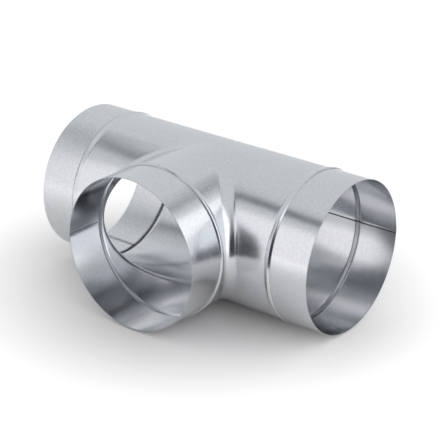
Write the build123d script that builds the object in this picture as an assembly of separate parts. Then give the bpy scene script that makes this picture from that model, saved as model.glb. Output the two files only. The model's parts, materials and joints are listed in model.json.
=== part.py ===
from build123d import *
from math import cos, degrees, pi, sin, sqrt
import os

# An equal round duct tee in galvanised sheet.
# The run lies along X, the branch points to -Y, and both axes cross at the origin.
# The body is one rolled sheet with the branch collar pressed out of its side.
# A spigot ring is locked to each of its three ends: the spigot's flared edge is
# gripped by a bead rolled on the body, which also stops the duct slid over the spigot.

# Driving sizes, in millimetres
duct_bore = 150.0  # inside diameter of the round duct that fits over a spigot
fit_clearance = 0.5  # radial gap between a spigot and that duct
sheet = 0.6  # thickness of the galvanised sheet
run_half_length = 160.0  # from the crossing of the axes to each mouth of the run
spigot_length = 40.0  # plain part of a spigot, from its mouth to its flare
bead_height = 2.0  # of the bead over the spigot
bead_shoulder = 1.9  # from the end of the plain spigot to the crest of the bead
bead_flank = 2.6  # from the crest to the foot of the bead on the body
bead_crest_radius = 1.6  # outer radius of the rounded crest
ply_clearance = 0.05  # between the spigot's flare and the bead around it
saddle_along_run = 10.5  # width of the pressed hollow, measured along the run
saddle_along_branch = 8.0  # width of the pressed hollow, measured along the branch
branch_collar = 0.5  # straight wall left on the branch between the hollow and the bead
seam_depth = 0.3  # of the crease along the edge of a lapped seam
seam_width = 0.6  # of the same crease
seam_lap = 6.0  # from the edge seen inside to the edge seen outside

# Angles, in degrees
bead_turns = [-75.0, -25.0, 15.0, 50.0]  # corners of the bead about its crest's centre
flare_turn = 25.0  # where the spigot's flare ends, about the same centre
body_seam_angle = 0.0  # from the back of the run
right_seam_angle = 0.0  # in line with the seam of the body
left_seam_angle = 78.0  # down from the back, so near the bottom of the run
branch_seam_angle = 0.0  # from the left side of the branch
saddle_strips = 5  # ruled strips across the hollow

# Sizes that follow
radius = duct_bore / 2 - fit_clearance
inner_radius = radius - sheet
bead_length = bead_shoulder + bead_flank
body_end_run = run_half_length - spigot_length - bead_length
body_end_branch = radius + saddle_along_branch + branch_collar
branch_reach = body_end_branch + bead_length + spigot_length  # from the run's axis to the mouth


# One quarter of a skin of the body: right of the branch and above both axes
def quarter_wall(place, r, reach, hollow):
    """A quarter of a duct's wall, cut back where the hollow runs out.

    Both ducts meet at 45 degrees, and so does the edge of the hollow.
    """
    quarter = Solid.make_cylinder(r, reach, Plane.XY, 90)
    edge_of_hollow = Plane(origin=(0, 0, hollow), x_dir=(0, 1, 0), z_dir=(-1, 0, 1))
    wall = quarter.split(edge_of_hollow, keep=Keep.TOP).faces().filter_by(GeomType.CYLINDER)[0]
    return place.from_local_coords(wall)


def hollow_steps(along_run, along_branch):
    """Points of the hollow's quarter ellipse, seen from above, from run to branch."""
    turns = [pi / 2 * i / saddle_strips for i in range(saddle_strips + 1)]
    return [Vector(along_run * (1 - sin(turn)), along_branch * (cos(turn) - 1), 0) for turn in turns]


def hollow_strips(r, steps):
    """The pressed hollow between run and branch, as narrow ruled strips.

    The two ducts cross in an ellipse that stands at 45 degrees. The hollow is
    that ellipse carried along its own small arc without turning, so it keeps
    its width from the side of the branch up to the crown.
    """
    upright = Plane(origin=(0, 0, 0), x_dir=(1, -1, 0), z_dir=(-1, -1, 0))
    crossing = Edge.make_ellipse(r * sqrt(2), r, upright, 0, 90)
    return [Face.extrude(crossing.moved(Pos(a)), b - a) for a, b in zip(steps, steps[1:])]


def skin_quarter(r, along_run, along_branch):
    steps = hollow_steps(along_run, along_branch)
    run_front = Plane(origin=(0, 0, 0), x_dir=(0, -1, 0), z_dir=(1, 0, 0))
    branch_side = Plane(origin=(0, 0, 0), x_dir=(1, 0, 0), z_dir=(0, -1, 0))
    faces = [
        quarter_wall(run_front, r, body_end_run, along_run).mirror(Plane.XY),
        quarter_wall(branch_side, r, body_end_branch, along_branch),
    ]
    faces += hollow_strips(r, steps)
    for start, end in ((0, along_run), (along_run, body_end_run)):
        back = Edge.make_circle(r, Plane.YZ.offset(start), 0, 90)
        faces.append(Face.extrude(back, (end - start, 0, 0)))
    crown = [(step.X, step.Y, r) for step in steps]
    faces.append(Face(Wire.make_polygon([(0, 0, r)] + crown, close=True)))
    return faces


# The whole body between its beads
def four_times(faces):
    """The same faces left and right of the branch, above and below the axes."""
    half = faces + [face.mirror(Plane.XY) for face in faces]
    return half + [face.mirror(Plane.YZ) for face in half]


def cut_edge(plane):
    """The flat ring where the sheet of the body ends, with its outlines in quarters."""
    outlines = []
    for r in (radius, inner_radius):
        quarters = [Edge.make_circle(r, plane, turn, turn + 90) for turn in (0, 90, 180, 270)]
        outlines.append(Wire(quarters))
    return Face(outlines[0], [outlines[1]])


def pressed_sheet():
    """Two skins joined by three cut edges."""
    outside = skin_quarter(radius, saddle_along_run, saddle_along_branch)
    inside = skin_quarter(inner_radius, saddle_along_run + sheet, saddle_along_branch + sheet)
    ends = [Plane.YZ.offset(body_end_run), Plane.YZ.offset(-body_end_run)]
    ends.append(Plane.XZ.offset(body_end_branch))
    return Solid(Shell(four_times(outside + inside) + [cut_edge(end) for end in ends]))


# Rings turned about Z, with the plain spigot's end at 0 and its mouth at spigot_length
crest_centre = Vector(radius + bead_height - bead_crest_radius, -bead_shoulder)


def turned(points):
    section = make_face(Polyline(*points, close=True))
    return revolve(Plane.XZ * section, Axis.Z)


def around_crest(r, turns):
    return [crest_centre + Vector(r, 0).rotate(Axis.Z, turn) for turn in turns]


def body_bead():
    """The bead: up from the body's wall, over the crest and down to a lip."""
    outer = [(radius, -bead_length)] + around_crest(bead_crest_radius, bead_turns)
    inner = [(inner_radius, -bead_length)] + around_crest(bead_crest_radius - sheet, bead_turns)
    return turned(outer + inner[::-1])


def spigot_ring():
    """A spigot: a plain ring whose end flares up under the lip of the bead."""
    flare_outside = around_crest(bead_crest_radius - sheet - ply_clearance, [flare_turn])[0]
    flare = (flare_outside - Vector(radius, 0)).normalized()
    across = Vector(flare.Y, -flare.X) * sheet
    bend = sheet * (1 + flare.Y) / flare.X
    return turned([
        (radius, spigot_length),
        (radius, 0),
        flare_outside,
        flare_outside + across,
        (inner_radius, -bend),
        (inner_radius, spigot_length),
    ])


def seam_creases(start, end):
    """The two creases of a lapped seam along Z: one inside, one outside."""
    crease = Box(2 * seam_depth, seam_width, end - start)
    middle = (start + end) / 2
    inside = Pos(inner_radius, 0, middle) * crease
    outside = Rot(0, 0, degrees(seam_lap / radius)) * Pos(radius, 0, middle) * crease
    return inside + outside


# Places of the three spigots: Z leaves by the mouth, X points to a seam angle of 0
right_place = Plane(origin=(run_half_length - spigot_length, 0, 0), x_dir=(0, 1, 0), z_dir=(1, 0, 0))
left_place = Plane(origin=(spigot_length - run_half_length, 0, 0), x_dir=(0, 1, 0), z_dir=(-1, 0, 0))
branch_place = Plane(origin=(0, spigot_length - branch_reach, 0), x_dir=(-1, 0, 0), z_dir=(0, -1, 0))
along_run = Plane(origin=(0, 0, 0), x_dir=(0, 1, 0), z_dir=(1, 0, 0))


def tee_body():
    body = pressed_sheet()
    for place in (right_place, left_place, branch_place):
        body = body + place * body_bead()
    creases = Rot(0, 0, body_seam_angle) * seam_creases(-body_end_run, body_end_run)
    return body - along_run * creases


def spigot(place, seam_angle):
    creases = Rot(0, 0, seam_angle) * seam_creases(0, spigot_length)
    return place * (spigot_ring() - creases)


parts = {
    "tee_body": tee_body(),
    "right_spigot": spigot(right_place, right_seam_angle),
    "left_spigot": spigot(left_place, left_seam_angle),
    "branch_spigot": spigot(branch_place, branch_seam_angle),
}

os.makedirs("parts", exist_ok=True)
for name, part in parts.items():
    export_step(part, f"parts/{name}.step")
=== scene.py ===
# %% [markdown]
# # A duct tee in galvanised sheet
# Ventilation duct is joined by fittings of thin zinc-coated steel. This one is an equal tee: a
# straight run with a branch of the same diameter pressed out of its side, and a plain ring at
# each end that a duct slides over. The construction comes packed from the CAD model, and here
# it gets smooth meshes, the metal's finish and the light that the metal needs.

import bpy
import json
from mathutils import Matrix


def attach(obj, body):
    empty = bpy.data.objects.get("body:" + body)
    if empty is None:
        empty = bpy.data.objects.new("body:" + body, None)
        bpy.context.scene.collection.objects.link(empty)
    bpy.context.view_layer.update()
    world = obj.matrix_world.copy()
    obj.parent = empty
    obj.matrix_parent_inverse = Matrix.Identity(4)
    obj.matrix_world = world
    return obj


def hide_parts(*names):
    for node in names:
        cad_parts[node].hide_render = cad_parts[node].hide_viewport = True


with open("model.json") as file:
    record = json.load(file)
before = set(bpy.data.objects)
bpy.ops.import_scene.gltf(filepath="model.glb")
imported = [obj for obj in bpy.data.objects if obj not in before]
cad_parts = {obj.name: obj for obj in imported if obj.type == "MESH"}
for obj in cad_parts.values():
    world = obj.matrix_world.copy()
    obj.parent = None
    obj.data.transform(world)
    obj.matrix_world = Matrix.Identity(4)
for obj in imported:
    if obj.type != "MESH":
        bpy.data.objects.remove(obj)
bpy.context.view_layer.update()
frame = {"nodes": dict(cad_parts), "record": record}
print("nodes:", sorted(frame["nodes"]))

# %% Libraries
import json
from math import cos, pi, radians, sin

import bmesh
import bpy
import numpy as np
from mathutils import Matrix, Vector, noise

# %% [markdown]
# ## Sizes
# A tee is cut and rolled to the bore of the duct it serves. Its sizes could be typed in here
# again, but then two files would have to agree, so the record of the part says where each
# mouth is and how wide its walls are. What the record leaves out, such as the form of the
# beads, is named here in metres, and slopes are in degrees.

# %% Sizes from the frame
mm = 0.001
mounts = {mount["name"]: mount for mount in frame["record"]["mounts"]}
radius = mounts["right_mouth"]["dims"]["r_mm"] * mm
inner_radius = mounts["run_bore"]["dims"]["r_mm"] * mm
sheet = radius - inner_radius
spigot_length = mounts["right_mouth"]["dims"]["length_mm"] * mm
run_end = mounts["right_mouth"]["pos_m"][0] + spigot_length / 2
branch_end = spigot_length / 2 - mounts["branch_mouth"]["pos_m"][1]
print(f"radius {radius / mm:.1f} mm, sheet {sheet / mm:.2f} mm, run {2 * run_end / mm:.0f} mm")

# %% Sizes of the beads
bead_length = 4.5 * mm  # from the end of the body's plain wall to the plain part of a ring
foot_radius = 4.0 * mm  # where the wall bends up into the bead
crest_radius = 1.5 * mm
fall_radius = 1.0 * mm  # where the crest bends over into the fall
flare_slope = 15.0
flare_length = 1.5 * mm
bend_radius = 0.8 * mm  # where a ring bends up into its flare
lip_height = 0.25 * mm  # of the lip's inside over the ring
lip_edge = 0.2 * mm  # the last of the fall, where the painted shade at the lip begins
# Places are counted along the duct from the end of the plain wall. A rise and a fall are
# each the length of a straight part and its slope.
run_bead = {
    "foot": -1.7 * mm,
    "rise": (2.4 * mm, 22.0),
    "fall": (2.15 * mm, 28.0),
    "lip": 4.8 * mm,
    "flare_end": 5.3 * mm,
}
branch_bead = {
    "foot": -1.52 * mm,
    "rise": (2.25 * mm, 28.0),
    "fall": (1.62 * mm, 50.0),
    "lip": 4.55 * mm,
    "flare_end": 5.03 * mm,
}
body_end_run = run_end - spigot_length - bead_length
body_end_branch = branch_end - spigot_length - bead_length
print(f"between its beads the body is {2 * body_end_run / mm:.0f} mm long")

# %% [markdown]
# ## A mesh of grids
# Rolled sheet bends one way only, so any face of it can be swept by two numbers. It could be
# cut from cylinders with Boolean modifiers, but they leave long thin triangles that shade
# badly on polished metal. Here each face is a grid of points instead. Grids that share an edge
# have the same points there and are merged at the end, which gives one closed skin. Real sheet
# is never quite true either, so its points are moved in slight slow waves. What the finish
# needs to know is kept on the points: how far round and along the sheet each lies, which skin
# it is on, the shade painted into a crevice and the darkening of a cut edge there, the dirt in
# the seam and the wear.

# %% Helpers for any mesh
def faces_of(rows, columns, first=0):
    """Corners of the faces of a grid whose points are numbered row by row from first."""
    index = first + np.arange(rows * columns).reshape(rows, columns)
    corners = (index[:-1, :-1], index[1:, :-1], index[1:, 1:], index[:-1, 1:])
    return np.stack(corners, -1).reshape(-1, 4)


def mesh_of(name, points, faces, kept):
    """A mesh that keeps a number on every point under each title."""
    mesh = bpy.data.meshes.new(name)
    mesh.from_pydata(points.tolist(), [], faces.tolist())
    for title, values in kept.items():
        mesh.attributes.new(title, "FLOAT", "POINT").data.foreach_set("value", values)
    return mesh


def in_scene(name, data):
    """A new object in the scene for a mesh, a lamp or a camera."""
    made = bpy.data.objects.new(name, data)
    bpy.context.scene.collection.objects.link(made)
    return made


# %% Merge the grids and wave the sheet
same_point = 0.002 * mm
wave_height = 0.05 * mm
wave_length = 45.0 * mm


def weld(mesh):
    """Merges what the grids share, waves the sheet and counts the edges left open."""
    work = bmesh.new()
    work.from_mesh(mesh)
    bmesh.ops.remove_doubles(work, verts=work.verts, dist=same_point)
    bmesh.ops.dissolve_degenerate(work, edges=work.edges, dist=same_point)
    bmesh.ops.recalc_face_normals(work, faces=work.faces)
    open_edges = sum(not edge.is_manifold for edge in work.edges)
    side = work.verts.layers.float["side"]
    for vert in work.verts:
        wave = noise.noise(vert.co / wave_length) * wave_height
        vert.co += vert.normal * wave * vert[side]
    work.to_mesh(mesh)
    work.free()
    return open_edges


# %% A piece of sheet is a closed mesh of grids
sharp_angle = radians(35)


class SheetMesh:
    def __init__(self, seam_dirt=1.0, wear=0.0):
        """The dirt in its seam and its wear, from 0 to 1, are the same all over a piece."""
        self.whole = {"seam_dirt": seam_dirt, "wear": wear}
        self.points = []
        self.faces = []
        self.rolled = []
        self.side = []
        # per point: the shade painted into crevices and the darkening of cut edges
        self.grime = []
        self.count = 0

    def grid(self, points, rolled, side, grime=0.0):
        """Adds rows of points; rolled is (round, along) in metres, side 1 outside and -1 inside."""
        points = np.asarray(points, float)
        shape = points.shape[:2]
        self.faces.append(faces_of(*shape, self.count))
        self.points.append(points.reshape(-1, 3))
        spread = [np.broadcast_to(values, shape) for values in rolled]
        self.rolled.append(np.stack(spread, -1).reshape(-1, 2))
        self.side.append(np.broadcast_to(float(side), shape).reshape(-1))
        self.grime.append(np.broadcast_to(grime, shape).reshape(-1))
        self.count += len(self.points[-1])

    def piece(self, name):
        """Merges the grids and returns the finished object."""
        kept = {"side": np.concatenate(self.side), "grime": np.concatenate(self.grime)}
        for title, value in self.whole.items():
            kept[title] = np.full(self.count, value)
        faces = np.concatenate(self.faces)
        mesh = mesh_of(name, np.concatenate(self.points), faces, kept)
        rolled = mesh.uv_layers.new(name="rolled")
        rolled.uv.foreach_set("vector", np.concatenate(self.rolled)[faces.ravel()].ravel())
        open_edges = weld(mesh)
        mesh.shade_smooth()
        mesh.set_sharp_from_angle(angle=sharp_angle)
        print(f"{name}: {len(mesh.polygons)} faces, {open_edges} open edges")
        return in_scene(name, mesh)


# %% [markdown]
# ## The lapped seam
# A rolled tube is closed by lapping one edge of the sheet over the other. Two things show:
# the cut edge stands proud as a thin step, and because the rolls can't bend the last
# centimetre, the tube comes to a slight ridge there. A painted line would show the step but
# not the ridge, which matters most to the eye, since reflections jump where they cross it. So
# both are put into the shape, as an offset that every ring of points round a tube can take.

# %% How far the sheet stands off the round at a seam
seam_step = 0.35 * mm
seam_lap = 6.0 * mm  # from the edge seen inside to the edge seen outside
seam_reach = 16.0 * mm
seam_peak = 0.5 * mm
seam_fade = 8.0 * mm  # a seam goes flat over this length beside a bead


def seam_offset(arc, side):
    """Radial offset at an arc length from the seam's edge: side is 1 outside and -1 inside."""
    edge = 0 if side < 0 else seam_lap
    towards_lap = (arc - edge) * -side
    off = np.zeros_like(arc)
    lapped = (towards_lap > 0) & (towards_lap < seam_reach)
    off[lapped] = side * seam_step * (1 - towards_lap[lapped] / seam_reach) ** 2
    near = np.abs(arc - seam_lap / 2) / seam_reach
    ridge = seam_peak * np.clip(1 - near, 0, 1) ** 2
    return off + ridge


# %% Arc lengths round a tube, closer together at a seam
close_steps = [-16, -12, -8, -5, -3, -1.5, -0.03, 0.03, 1.5, 3, 4.5, 5.97, 6.03, 7.5, 9, 12, 16]
even_steps = 288
once_round = 2 * pi * radius


def arcs_round():
    """Arc lengths once round, from just before the seam to the same place again."""
    near = np.array(close_steps) * mm
    far = np.linspace(near[-1], once_round + near[0], even_steps)[1:]
    return np.concatenate([near, far])


arcs = arcs_round()
print(f"{len(arcs)} places round a tube, {(arcs[-1] - arcs[-2]) / mm:.2f} mm apart away from the seam")
print(f"a seam stands up to {seam_offset(arcs, 1).max() / mm:.2f} mm proud")

# %% [markdown]
# ## The bead in section
# Seen in section, the body's sheet sweeps up over a crest and falls steeply to its lip. The
# ring's end flares up under that lip and is gripped by it. A bevelled cylinder would give an
# even round roll, but the real rise is long and gentle and the fall short, which is why the
# bead shows a grey side, a bright line and a dark side. So the section is walked like a path:
# straight on, or round an arc by some degrees.

# %% Walk along a section
arc_step = 7.0


def walk(point, heading, pieces):
    """Points (distance from the axis, distance along it); a piece is (size, degrees turned)."""
    height, along = point
    points = [(height, along)]
    for size, turn in pieces:
        count = max(1, round(abs(turn) / arc_step))
        part = turn / count
        stride = 2 * size * sin(radians(abs(part) / 2)) if turn else size
        for i in range(count):
            way = radians(heading + part / 2)
            height, along = height + stride * sin(way), along + stride * cos(way)
            heading += part
            points.append((height, along))
    return points


# %% Sections of the bead and of a ring
def body_bead(bead, inward):
    """One skin of the bead, from the body's wall to the lip."""
    rise_length, rise_slope = bead["rise"]
    fall_length, fall_slope = bead["fall"]
    rise = [
        (foot_radius + inward, rise_slope),
        (rise_length, 0),
        (crest_radius - inward, -rise_slope),
        (fall_radius - inward, -fall_slope),
    ]
    start = (radius - inward, bead["foot"])
    if not inward:
        return walk(start, 0, rise + [(fall_length - lip_edge, 0), (lip_edge, 0)])
    return walk(start, 0, rise) + [(radius + lip_height, bead["lip"])]


ring_steps = np.array([0.008, 0.03, 0.08, 0.2, 0.4, 0.6, 0.8, 0.95, 0.993, 1.0])


def ring_section(bead):
    """Both skins of a ring, each from the tip of its flare to its mouth."""
    skins = []
    end = bead["flare_end"]
    for inward in (0, sheet):
        path = [(bend_radius + inward, flare_slope), (flare_length, 0)]
        turned_back = walk((radius - inward, -end), 0, path)
        flare = [(height, -along) for height, along in reversed(turned_back)]
        wall = (run_end - body_end_run - end) * ring_steps + end
        skins.append(flare + [(radius - inward, s) for s in wall])
    return skins


for title, bead in (("run", run_bead), ("branch", branch_bead)):
    crest = max(body_bead(bead, 0))
    print(f"a bead of the {title} stands {(crest[0] - radius) / mm:.2f} mm high")

# %% Painted shade and darker edges along a section, from 0 to 1
# Painted shade in the crevices under the lips, and how much darker the cut edges and rims are.
darkest = 1.0  # deep in a crevice
lip_shade = 0.25  # at the open edge of one
cut_edge_dark = 0.9  # on the cut edges of a ring
rim_dark = 0.5  # beside those edges


def bead_shade(section, inward):
    """Painted shade in the crevice under the lip, for each point of the section, as a column."""
    grime = np.zeros(len(section))
    crest_at = np.argmax(np.array(section)[:, 0])
    if inward:
        grime[crest_at + 1 :] = darkest
    else:
        grime[-1] = lip_shade
    return grime[:, None]


def ring_shade_and_edges(section, side, flare_dark):
    """Painted shade at the flare's tip inside, a darkening given as an argument on the flare outside, and
    some at the mouth.
    """
    grime = np.zeros(len(section))
    if side < 0:
        grime[0] = darkest
    else:
        grime[: len(section) - len(ring_steps)] = flare_dark
    grime[-1] = rim_dark
    return grime[:, None]


# %% [markdown]
# ## The body
# The body is one sheet with the branch pressed out of it. Where the two ducts cross they meet
# in a tilted ellipse. Joining two tubes there would leave a sharp corner, and a bevel on that
# corner would change its width on the way up, but the real hollow doesn't. It is the ellipse
# carried along a small arc of its own, so it starts level with the run, ends level with the
# branch and keeps its width up to the crown. The right half is made, and the left mirrors it.

# %% Places on the body
hollow_run = 10.5 * mm  # width of the hollow along the run
hollow_branch = 8.0 * mm  # and along the branch
front = np.radians(np.linspace(-90, 90, 145))  # from the bottom round the front to the top
hollow_turns = np.radians(np.linspace(0, 90, 17))
# Shares of a wall's length, closer together towards the bead, and of the crown's half width
wall_steps = np.array([0, 0.12, 0.24, 0.36, 0.48, 0.6, 0.7, 0.79, 0.86, 0.91, 0.95, 0.98, 1.0])
crown_steps = np.linspace(-1, 1, 9)
half_way = once_round / 4
closest = 0.5 * mm  # to where front and back meet, or the faces there become slivers
back_arcs = np.concatenate([arcs, arcs - once_round])
back_arcs = np.unique(np.round(back_arcs[np.abs(back_arcs) < half_way - closest], 9))
back = pi - np.concatenate([[half_way], back_arcs[::-1], [-half_way]]) / radius
front_arc, back_arc = (pi - front) * radius, (pi - back) * radius
print(f"{len(front)} places round the front of the body and {len(back)} round its back")


# %% Points round the run and the branch
def crossing(r, turn):
    """The right half of the ellipse in which two tubes of radius r cross."""
    return np.stack([r * np.cos(turn), -r * np.cos(turn), r * np.sin(turn)], -1)


def round_run(r, x, angles, side):
    """Points round the run at one place along it, with the seam at the back."""
    fade = np.clip((body_end_run - abs(x)) / seam_fade, 0, 1)
    off = np.where(np.cos(angles) < 0, fade * seam_offset((pi - angles) * radius, side), 0)
    reach = r + off
    return np.stack([np.full_like(angles, x), -reach * np.cos(angles), reach * np.sin(angles)], -1)


def round_branch(reach, s):
    """Points round the right half of the branch, at s past the end of its plain wall."""
    places = (reach * np.cos(front), -body_end_branch - s, reach * np.sin(front))
    return np.stack(np.broadcast_arrays(*places), -1)


def raised(bead, s):
    """Distance from the axis on the rise of a bead, at places s along it."""
    rise = slice(0, np.argmax(bead[:, 0]) + 1)
    return np.interp(s, bead[rise, 1], bead[rise, 0])


# %% Walls: each grid is its points, the arcs and places along the sheet, and its painted shade or edge darkening
def run_wall(edge, along_run, bead):
    """The front of the run, from the hollow to the foot of the bead."""
    start = edge[:, 0] + along_run
    x = start + wall_steps[:, None] * (body_end_run + bead[0, 1] - start)
    return np.stack(np.broadcast_arrays(x, edge[:, 1], edge[:, 2]), -1), front_arc, x, 0.0


def branch_wall(bead, hollow_end, bead_start):
    """The branch, from the hollow to the bead, which the hollow runs into at the sides."""
    s = hollow_end + wall_steps[:, None] * (bead_start - hollow_end)
    return round_branch(raised(bead, s), s), front_arc, radius + body_end_branch + s, 0.0


def back_wall(r, along_run, bead, side):
    """The back of the run, beside the crown."""
    x_back = along_run + wall_steps * (body_end_run + bead[0, 1] - along_run)
    rings = np.array([round_run(r, x, back, side) for x in x_back])
    return rings, back_arc, x_back[:, None], 0.0


# %% The hollow and the crown
def hollow_steps(along_run, along_branch):
    """How far the ellipse has been carried at each step, along the run and along the branch."""
    return along_run * (1 - np.sin(hollow_turns)), -along_branch * (1 - np.cos(hollow_turns))


def hollow_wall(r, edge, along_run, along_branch, bead):
    """The hollow, lifted where it runs up the branch's bead."""
    step_x, step_y = hollow_steps(along_run, along_branch)
    step = np.stack([step_x, step_y, np.zeros_like(step_x)], -1)
    hollow = edge[None] + step[:, None]
    lift = raised(bead, -hollow[..., 1] - body_end_branch) / r
    lifted = hollow * np.stack([lift, np.ones_like(lift), lift], -1)
    return lifted, front_arc, hollow[..., 0] - hollow[..., 1], 0.0


def crown(mesh, r, along_run, along_branch, side):
    """The back of the run behind the branch, and the two flat tips of the hollow."""
    x_crown = along_run * crown_steps
    rings = np.array([round_run(r, x, back, side) for x in x_crown])
    mesh.grid(rings, (back_arc, x_crown[:, None]), side)
    step_x, step_y = hollow_steps(along_run, along_branch)
    for z in (r, -r):
        rows = [[(x * c, y, z) for c in crown_steps] for x, y in zip(step_x, step_y)]
        arc = np.full((1, len(crown_steps)), half_way)
        mesh.grid(rows, (arc, step_x[:, None] * crown_steps), side)


# %% Beads
def bead_of_run(bead, angles, side, grime):
    """The front or the back of a bead of the run."""
    x = body_end_run + bead[:, 1]
    rings = np.array([round_run(r, place, angles, side) for r, place in zip(bead[:, 0], x)])
    return rings, (pi - angles) * radius, x[:, None], grime


def bead_of_branch(bead, bead_start, grime):
    """The bead of the branch, which starts late where the hollow has taken its foot."""
    s = np.maximum(bead[:, 1:], bead_start)
    reach = np.where(s > bead[:, 1:], raised(bead, s), bead[:, :1])
    return round_branch(reach, s), front_arc, radius + body_end_branch + s, grime


def cut_edges():
    """The cut edge of the sheet at each lip, right of the branch."""
    skins = (0, sheet)
    grids = []
    for angles in (front, back):
        edge = [body_bead(run_bead, inward)[-1] for inward in skins]
        rims = [round_run(r, body_end_run + s, angles, side) for (r, s), side in zip(edge, (1, -1))]
        # the cut edges at the lips are painted darkest
        grids.append((np.array(rims), (pi - angles) * radius, body_end_run, darkest))
    rims = [round_branch(*body_bead(branch_bead, inward)[-1]) for inward in skins]
    grids.append((np.array(rims), front_arc, body_end_run, darkest))
    return grids


# %% Put the halves together
def both_halves(mesh, grids, side):
    """Adds grids made right of the branch, then their mirror images."""
    for mirror in (1, -1):
        for points, arc, along, grime in grids:
            mesh.grid(points * np.array([mirror, 1, 1]), (arc, mirror * along), side, grime)


def body_skin(mesh, inward, side):
    """One skin of the body: the inner one lies inward by the sheet's thickness."""
    r, along_run, along_branch = radius - inward, hollow_run + inward, hollow_branch + inward
    bead, small_bead = (np.array(body_bead(kind, inward)) for kind in (run_bead, branch_bead))
    grime, small_bead_shade = bead_shade(bead, inward), bead_shade(small_bead, inward)
    edge = crossing(r, front)
    hollow_end = along_branch - edge[:, 1] - body_end_branch
    bead_start = np.maximum(small_bead[0, 1], hollow_end)
    right_half = [
        run_wall(edge, along_run, bead),
        branch_wall(small_bead, hollow_end, bead_start),
        hollow_wall(r, edge, along_run, along_branch, small_bead),
        bead_of_run(bead, front, side, grime),
        bead_of_run(bead, back, side, grime),
        bead_of_branch(small_bead, bead_start, small_bead_shade),
        back_wall(r, along_run, bead, side),
    ]
    both_halves(mesh, right_half, side)
    crown(mesh, r, along_run, along_branch, side)


# %% Make the body
pressed = SheetMesh()
body_skin(pressed, 0, 1)
body_skin(pressed, sheet, -1)
both_halves(pressed, cut_edges(), 1)
tee = pressed.piece("pressed_body")

# %% [markdown]
# ## The rings
# Each ring is one strip, rolled and lapped like the body, and locked under a bead. One ring
# could be made and copied, but their seams lie where the maker happened to turn them: at the
# back of the right end, near the bottom of the left end and at the left of the branch. They
# aren't equally clean either: the left one is duller, and its flare is painted darker under
# the lip. So one function makes a ring, and is called three times with what differs.

# %% A ring
def ring(name, bead, start, outward, seam_way, seam_dirt, flare_dark=lip_shade, wear=0.0):
    """A ring whose bead begins at start, with its seam on the side seam_way points to."""
    start, outward, first = Vector(start), Vector(outward), Vector(seam_way)
    second = outward.cross(first)
    from_seam = np.where(arcs > once_round / 2, arcs - once_round, arcs)
    around = np.outer(np.cos(arcs / radius), first) + np.outer(np.sin(arcs / radius), second)
    mesh = SheetMesh(seam_dirt, wear)
    skins = []
    for side, section in zip((1, -1), ring_section(bead)):
        rings = []
        for r, s in section:
            fade = np.clip((s - bead_length) / seam_fade, 0, 1)
            reach = r + fade * seam_offset(from_seam, side)
            rings.append(np.array(start + outward * s) + reach[:, None] * around)
        along = np.array([s for r, s in section])[:, None]
        mesh.grid(rings, (arcs, along), side, ring_shade_and_edges(section, side, flare_dark))
        skins.append((rings, along))
    (outer, along), (inner, _) = skins
    for end in (0, -1):
        cut = [outer[end], (outer[end] + inner[end]) / 2, inner[end]]
        # the cut edges of a ring are painted darker, most in the middle
        mesh.grid(cut, (arcs, along[end]), 1, np.array([[rim_dark], [cut_edge_dark], [rim_dark]]))
    return mesh.piece(name)


# %% Make the rings
right_start, left_start = (body_end_run, 0, 0), (-body_end_run, 0, 0)
branch_start = (0, -body_end_branch, 0)
left_seam = radians(-78)
left_way = (0, cos(left_seam), sin(left_seam))
right_ring = ring("right_ring", run_bead, right_start, (1, 0, 0), (0, 1, 0), seam_dirt=1.0)
# the left ring's flare is painted darker under its lip
left_ring = ring(
    "left_ring", run_bead, left_start, (-1, 0, 0), left_way, seam_dirt=0.25, flare_dark=0.9, wear=1.0
)
branch_ring = ring("branch_ring", branch_bead, branch_start, (0, -1, 0), (-1, 0, 0), seam_dirt=0.5)

# %% [markdown]
# ## Bodies
# Nothing on a tee moves, so every piece rides on the one body. Each stands for the CAD solid
# of the same part, which stays for collisions but isn't seen. The CAD solids could have been
# dressed themselves, but they have plain straight beads.

# %% Bodies
for made, node, slot in (
    (tee, "tee_body", "galvanised_body"),
    (right_ring, "right_spigot", "galvanised_spigots"),
    (left_ring, "left_spigot", "galvanised_spigots"),
    (branch_ring, "branch_spigot", "galvanised_spigots"),
):
    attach(made, "root")
    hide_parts(node)
print("four pieces stand for the four CAD nodes")

# %% [markdown]
# ## Writing a finish
# A finish is a formula over the surface. It could be drawn as a chart of boxes and wires, but
# it reads best as the formula. `Value` wraps a number that a node gives out and lets Python's
# signs add the Math nodes. `Finish` makes every other node with one method: its type, its
# settings, then its inputs. A material and the room's world are both finishes.

# %% Values that can be added and multiplied
class Value:
    def __init__(self, finish, socket):
        self.finish = finish
        self.socket = socket

    def maths(self, operation, *values):
        return self.finish.node("ShaderNodeMath", {"operation": operation}, dict(enumerate(values)))

    def __add__(self, other):
        return self.maths("ADD", self, other)

    __radd__ = __add__

    def __sub__(self, other):
        return self.maths("SUBTRACT", self, other)

    def __rsub__(self, other):
        return self.maths("SUBTRACT", other, self)

    def __mul__(self, other):
        return self.maths("MULTIPLY", self, other)

    __rmul__ = __mul__

    def __abs__(self):
        return self.maths("ABSOLUTE", self)

    def fades(self, start, end):
        """1 where the value is at start, 0 at end, smooth in between."""
        inputs = {"Value": self, "From Min": start, "From Max": end, "To Min": 1.0, "To Max": 0.0}
        return self.finish.node("ShaderNodeMapRange", {"interpolation_type": "SMOOTHSTEP"}, inputs)


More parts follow.
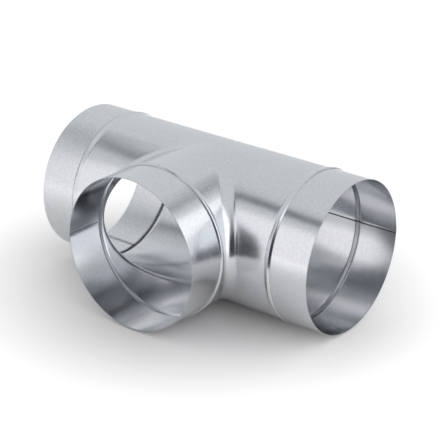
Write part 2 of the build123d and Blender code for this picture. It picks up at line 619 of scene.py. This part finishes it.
# %% A finish and its nodes
class Finish:
    def __init__(self, owner, shader="Principled BSDF"):
        self.owner = owner
        self.owner.use_nodes = True
        self.tree = owner.node_tree
        self.shader = self.tree.nodes[shader]

    def put(self, socket, value):
        """Links a Value to a socket, or sets the socket to a number or a colour."""
        if isinstance(value, Value):
            self.tree.links.new(value.socket, socket)
        else:
            socket.default_value = value

    def node(self, kind, settings=None, inputs=None, output=0):
        made = self.tree.nodes.new(kind)
        for name, value in (settings or {}).items():
            setattr(made, name, value)
        for name, value in (inputs or {}).items():
            self.put(made.inputs[name], value)
        return Value(self, made.outputs[output])

    def set(self, **inputs):
        """Sets inputs of the shader, named with underscores for spaces."""
        for name, value in inputs.items():
            self.put(self.shader.inputs[name.replace("_", " ")], value)

    def kept(self, title):
        """A number that the mesh keeps on its points."""
        return self.node("ShaderNodeAttribute", {"attribute_name": title}, output="Fac")

    def specks(self, vector, size, detail=2.0):
        """Noise from about 0 to 1 whose grains are size metres across."""
        inputs = {"Vector": vector, "Scale": 1 / size, "Detail": detail}
        return self.node("ShaderNodeTexNoise", inputs=inputs)

    def stretched(self, vector, scale):
        return self.node("ShaderNodeMapping", inputs={"Vector": vector, "Scale": scale})

    def blend(self, factor, first, second):
        """Colour first where factor is 0 and second where it is 1."""
        settings = {"data_type": "RGBA", "clamp_factor": True}
        factor_in, first_in, second_in, colour_out = 0, 6, 7, 2  # sockets of a Mix node for colours
        inputs = {factor_in: factor, first_in: first, second_in: second}
        return self.node("ShaderNodeMix", settings, inputs, colour_out)

    def tell(self, step):
        print(f"{self.owner.name}, {step}: {len(self.tree.nodes)} nodes so far")


# %% [markdown]
# ## Galvanised steel
# Hot-dipped sheet is bright but never a mirror. The zinc freezes in small crystals, the rolls
# leave fine lines, and both scatter part of the light, so each reflection has a sharp core in
# a soft veil. One middling roughness would blur everything alike, so the roughness changes
# from grain to grain instead. Handling leaves faint clouds. Dirt settles along the seams, shade
# is painted into the crevices under the beads, the cut edges are painted darker, and rust
# begins beside the seam of the worn ring.

# %% The metal and what is on it
steel = Finish(bpy.data.materials.new("galvanised_steel"))
place = steel.node("ShaderNodeTexCoord", output="Object")
rolled = steel.node("ShaderNodeUVMap", {"uv_map": "rolled"})
arc = steel.node("ShaderNodeSeparateXYZ", inputs={"Vector": rolled}, output="X")
still_inside, outside = 0.1, 0.2  # the side kept on the mesh runs from -1 inside to 1 outside
inside = steel.kept("side").fades(still_inside, outside)
# painted shade in the crevices under the lips, and darker cut edges, kept on the points
kept_shade_and_edges = steel.kept("grime")
seam_dirt = steel.kept("seam_dirt")
wear = steel.kept("wear")
steel.tell("where on the sheet")

# %% Zinc crystals
zinc_bright = (0.750, 0.764, 0.782, 1)
zinc_dull = (0.63, 0.643, 0.662, 1)
grain_size, crystal_size, cloud_size = 0.8 * mm, 2.4 * mm, 40 * mm
grain_share, crystal_share, cloud_share = 0.9, 0.8, 0.4
contrast, worn_contrast = 1.35, 0.9
least_bright = 0.3

grain = steel.specks(place, grain_size)
crystals = steel.specks(place, crystal_size)
clouds = steel.specks(place, cloud_size, detail=3.0)
mottled = grain * grain_share + crystals * crystal_share - (grain_share + crystal_share) / 2
bright = mottled * (contrast + wear * worn_contrast) + clouds * cloud_share + least_bright
colour = steel.blend(bright, zinc_dull, zinc_bright)
steel.tell("zinc crystals")

# %% Dark flecks
# dark colour of the specks and the seam dirt, also used for the painted shade in crevices
dirt_and_shade_colour = (0.035, 0.035, 0.04, 1)
fleck_size, fleck_share = 2.6 * mm, 0.3
fleck_core, fleck_edge = 0.82, 0.75  # only the peaks of the noise are dark

flecks = steel.specks(place, fleck_size, detail=1.0).fades(fleck_core, fleck_edge)
colour = steel.blend(flecks * fleck_share, colour, dirt_and_shade_colour)
steel.tell("dark flecks")

# %% Dirt in the seams, painted shade in the crevices
smear_size = 4 * mm
inside_shift, inside_width = 0.4 * mm, 0.55 * mm
outside_core, outside_width, outside_share = 0.1 * mm, 0.45 * mm, 0.6
seam_least, seam_smears = 0.7, 0.6
crevice_least, crevice_smears = 0.4, 0.5

broken = steel.specks(rolled, smear_size)
inside_line = (abs(arc) - seam_dirt * inside_shift).fades(0.0, inside_width) * inside
outside_line = abs(arc - seam_lap).fades(outside_core, outside_width) * (1 - inside) * outside_share
seam = (inside_line + outside_line) * seam_dirt * (seam_least + broken * seam_smears)
# painted shade in the crevices and darker cut edges, broken up by smears
crevice = kept_shade_and_edges * (crevice_least + broken * crevice_smears)
colour = steel.blend(seam + crevice, colour, dirt_and_shade_colour)
steel.tell("dirt in the seams")

# %% Rust beside the seam of the worn ring
rust = (0.20, 0.13, 0.105, 1)
rust_size, rust_share = 2.2 * mm, 0.5
rust_core, rust_edge = 0.75, 0.4
stain_middle, stain_core, stain_reach = 1.0 * mm, 0.3 * mm, 4 * mm
seam_pull = 0.15  # how much more readily it rusts right at the seam

near_seam = abs(arc - stain_middle).fades(stain_core, stain_reach)
spots = steel.specks(place, rust_size, detail=3.0) + near_seam * seam_pull
stained = spots.fades(rust_core, rust_edge) * near_seam * wear * inside
colour = steel.blend(stained * rust_share, colour, rust)
steel.tell("rust")

# %% Gloss and relief
line_size, line_stretch = 9 * mm, (1.0, 14.0, 1.0)
polish = 0.08  # the roughness of the cleanest grain
grain_dulls, lines_dull, wear_dulls, dirt_and_shade_dull = 0.13, 0.05, 0.09, 0.4
line_relief, grain_relief = 0.6, 0.4
relief_strength, relief_depth = 0.12, 0.02 * mm

lines = steel.specks(steel.stretched(rolled, line_stretch), line_size, detail=3.0)
roughness = polish + grain * grain_dulls + (lines + clouds) * lines_dull + wear * wear_dulls
roughness = roughness + (seam + crevice + stained) * dirt_and_shade_dull
height = lines * line_relief + grain * grain_relief
bump = {"Strength": relief_strength, "Distance": relief_depth, "Height": height}
relief = steel.node("ShaderNodeBump", inputs=bump)
steel.set(Base_Color=colour, Metallic=1.0, Roughness=roughness, Normal=relief)
for made in (tee, right_ring, left_ring, branch_ring):
    made.data.materials.append(steel.owner)
steel.tell("gloss and relief")

# %% [markdown]
# ## The camera
# The tee was pictured with a long lens from the right and a little above, tipped by one
# degree. A camera could be placed by hand and turned with a constraint. Here its matrix is
# made from the angles instead, so that each of them can be read and changed alone.

# %% Camera
azimuth = radians(37.681)  # from the front to the right
elevation = radians(23.201)
roll = radians(1.047)
distance = 20.0112 * radius
aim_right, aim_up = 0.0585 * radius, -0.0824 * radius
focal_mm, sensor_mm = 125.13, 36


def turned(right, up, back, place):
    """The matrix of something at place whose own X, Y and Z point right, up and back."""
    return Matrix.Translation(place) @ Matrix((right, up, back)).transposed().to_4x4()


flat = Vector((sin(azimuth), -cos(azimuth), 0))
towards_camera = flat * cos(elevation) + Vector((0, 0, sin(elevation)))
level = (-towards_camera).cross(Vector((0, 0, 1))).normalized()
upright = level.cross(-towards_camera)
right = cos(roll) * level + sin(roll) * upright
up = -sin(roll) * level + cos(roll) * upright
place = aim_right * right + aim_up * up + distance * towards_camera
camera = in_scene("camera", bpy.data.cameras.new("camera"))
camera.matrix_world = turned(right, up, towards_camera, place)
camera.data.lens = focal_mm
camera.data.sensor_width = sensor_mm
bpy.context.scene.camera = camera
print("camera at", [round(c, 3) for c in place])

# %% [markdown]
# ## The floor
# The tee lies on white paper that runs out of the picture. More light would burn the paper
# white, but the metal would burn with it. So the paper glows a little by itself, only where it
# is away from the tee and only for the camera and for what the metal or glass shows of it. The
# light on the object stays as it is, and near the object the paper keeps the soft shadow.

# %% Floor
bead_height = 2.0 * mm  # the tee lies on its beads
floor_level = -radius - bead_height
floor_half = 8.0
corners = np.array([(-1, -1), (1, -1), (1, 1), (-1, 1)]) * floor_half
points = np.column_stack([corners, np.full(len(corners), floor_level)])
floor = in_scene("floor", mesh_of("floor", points, np.array([(0, 1, 2, 3)]), {}))
print(f"floor {-floor_level / mm:.1f} mm under the run's axis")

# %% Floor paper
black, white = (0, 0, 0, 1), (1, 1, 1, 1)
paper_colour, matt = (0.82, 0.80, 0.785, 1), 0.9
paper_glow = 0.42
seen_white, seen_dark = 0.32, 0.11  # metres from the middle at which the glow is full and gone
mirror_white, mirror_dark = 0.62, 0.08  # the same for what the metal shows
mirror_fades, mirror_ends = 1.3, 2.2  # and where that ends again, far out

paper = Finish(bpy.data.materials.new("floor_paper"))
ray = {
    kind: paper.node("ShaderNodeLightPath", output=f"Is {kind} Ray")
    for kind in ("Camera", "Glossy", "Transmission")
}
spot = paper.node("ShaderNodeTexCoord", output="Object")
away = paper.node("ShaderNodeVectorMath", {"operation": "LENGTH"}, {0: spot}, output="Value")
near_glow = away.fades(mirror_white, mirror_dark) * away.fades(mirror_fades, mirror_ends)
mirrored = (ray["Glossy"] + ray["Transmission"]) * near_glow
glow = ray["Camera"] * away.fades(seen_white, seen_dark) + mirrored
paper.set(
    Base_Color=paper_colour,
    Roughness=matt,
    Emission_Color=paper.blend(glow, black, white),
    Emission_Strength=paper_glow,
)
floor.data.materials.append(paper.owner)
paper.tell("glow and colour")

# %% [markdown]
# ## The room
# Bare metal has hardly any colour of its own: what it shows is the studio round it. A picture
# of a real studio could be wrapped round the scene, but an even white room with its lamps and
# cards set one by one can be adjusted band by band, as a photographer does. The room is a
# little darker for the metal than for the camera, which sees it as plain white.

# %% Room
room_colour = (0.975, 1, 1.025, 1)
room_strength, seen_strength = 0.77, 1.0

room = Finish(bpy.data.worlds.new("room"), "Background")
seen = room.node("ShaderNodeLightPath", output="Is Camera Ray")
room.set(Color=room_colour, Strength=seen * (seen_strength - room_strength) + room_strength)
bpy.context.scene.world = room.owner
bpy.context.scene.view_settings.view_transform = "Standard"
print(f"the metal sees walls at {room_strength} of white")


# %% A place in the studio
def from_centre(turn, height, reach):
    """A point seen from the crossing of the ducts: degrees from the front to the right, then up."""
    a, e = radians(turn), radians(height)
    return Vector((sin(a) * cos(e), -cos(a) * cos(e), sin(e))) * reach


# %% [markdown]
# ## The soft boxes
# Three lamps behind large white cloths stand at the left, at the right and behind on the
# right. Point lamps would give round sparks, while these give the metal the broad pale bands
# of a product picture, and their edges are the soft edges of those bands. The one at the left
# is a little pink and the one at the right a little blue. The camera doesn't see them.

# %% Soft boxes
def shining_in(place):
    """The matrix of a lamp at place turned to the crossing; a lamp shines along its own -Z."""
    back = place.normalized()
    across = Vector((0, 0, 1)).cross(back).normalized()
    return turned(across, back.cross(across), back, place)


def soft_box(name, turn, height, reach, wide, high, radiance, colour):
    """A lamp panel; radiance is what the metal sees of it on top of the room."""
    light = bpy.data.lights.new(name, "AREA")
    light.shape = "RECTANGLE"
    light.size, light.size_y = wide, high
    light.energy = radiance * pi * wide * high
    light.color = colour
    made = in_scene(name, light)
    made.matrix_world = shining_in(from_centre(turn, height, reach))
    made.visible_camera = False
    print(f"{name}: {light.energy:.2f} W")


pink, blue, plain = (1.0, 0.9, 0.93), (0.94, 0.94, 1.0), (1.0, 1.0, 1.0)
soft_box("left_box", turn=-26, height=14, reach=0.9, wide=0.75, high=0.83, radiance=0.37, colour=pink)
soft_box("right_box", turn=82, height=25, reach=1.0, wide=1.45, high=1.12, radiance=0.77, colour=blue)
soft_box("back_right_box", turn=142, height=19, reach=1.0, wide=0.9, high=0.64, radiance=0.6, colour=plain)

# %% [markdown]
# ## The dark cards
# Metal that mirrors only white looks like paper. A photographer cuts the white with black
# cards, which give a tube its thin dark lines along and its dark flank. These cards are seen
# by the metal alone: they throw no shadow and the camera passes them. A card could end with a
# hard edge, but where the real band fades, a number on its points, the cover, makes it clear
# little by little.

# %% A dark card
card_colour = (0.04, 0.045, 0.053, 1)
card = Finish(bpy.data.materials.new("black_card"))
card.set(Base_Color=card_colour, Roughness=matt, Alpha=card.kept("cover"))
card.tell("colour and cover")


def dark_card(name, rows, cover):
    """A dark surface through rows of points; where its cover is 0 it is clear, and 1 is solid."""
    rows = np.array(rows)
    shape = rows.shape[:2]
    kept = {"cover": np.broadcast_to(cover, shape).ravel()}
    made = in_scene(name, mesh_of(name, rows.reshape(-1, 3), faces_of(*shape), kept))
    made.data.materials.append(card.owner)
    made.visible_camera = False
    made.visible_diffuse = False
    made.visible_shadow = False
    print(f"{name}: {len(made.data.polygons)} faces")


# %% Gaps in the white, high up
gap_reach, gap_steps = 4.0, 41


def gap_card(name, turns, lows, highs):
    """A dark band round the tee; lows and highs are the heights of its edges at both turns."""
    ends = (0, gap_steps - 1)
    turn, low, high = (np.interp(range(gap_steps), ends, values) for values in (turns, lows, highs))
    rows = [[from_centre(t, e, gap_reach) for t, e in zip(turn, edge)] for edge in (low, high)]
    dark_card(name, rows, 1.0)


gap_card("left_gap", turns=(-82, -20), lows=(48.3, 44.4), highs=(51.9, 52.0))
gap_card("left_gap_end", turns=(-110, -82), lows=(49.0, 48.3), highs=(49.6, 51.9))
gap_card("right_gap", turns=(110, 180), lows=(41.1, 41.1), highs=(43.6, 43.6))

# %% The dark front of the room, from the ground up
first_turn, last_turn = -1, 52
left_fade, right_fade = 4, 7  # degrees over which the sides clear
near_edge, far_edge = 0.35, 1.0
ground = floor_level + 0.5 * mm  # just off the paper
columns, ground_rows, upright_rows = 31, 9, 25
turns = np.linspace(first_turn, last_turn, columns)
left_cover = np.clip((turns - first_turn) / left_fade, 0, 1)
right_cover = np.clip((last_turn - turns) / right_fade, 0, 1)
rows = [
    [Vector((sin(radians(t)) * reach, -cos(radians(t)) * reach, ground)) for t in turns]
    for reach in np.linspace(near_edge, far_edge, ground_rows)
]
dark_card("dark_ground", rows, left_cover * right_cover)

# %% The dark front, upright
lowest = -4.4  # degrees, where the card on the ground ends
tops = np.interp(turns, (first_turn, 20, 30, 45, last_turn), (60, 60, 54, 28, 12))
top_fade = 0.65  # share of the height over which the top clears
shares = np.linspace(0, 1, upright_rows)
rows = [
    [from_centre(t, lowest + (top - lowest) * share, far_edge) for t, top in zip(turns, tops)]
    for share in shares
]
top_cover = np.clip((1 - shares) / top_fade, 0, 1)[:, None]
dark_card("dark_front", rows, top_cover * left_cover * right_cover)
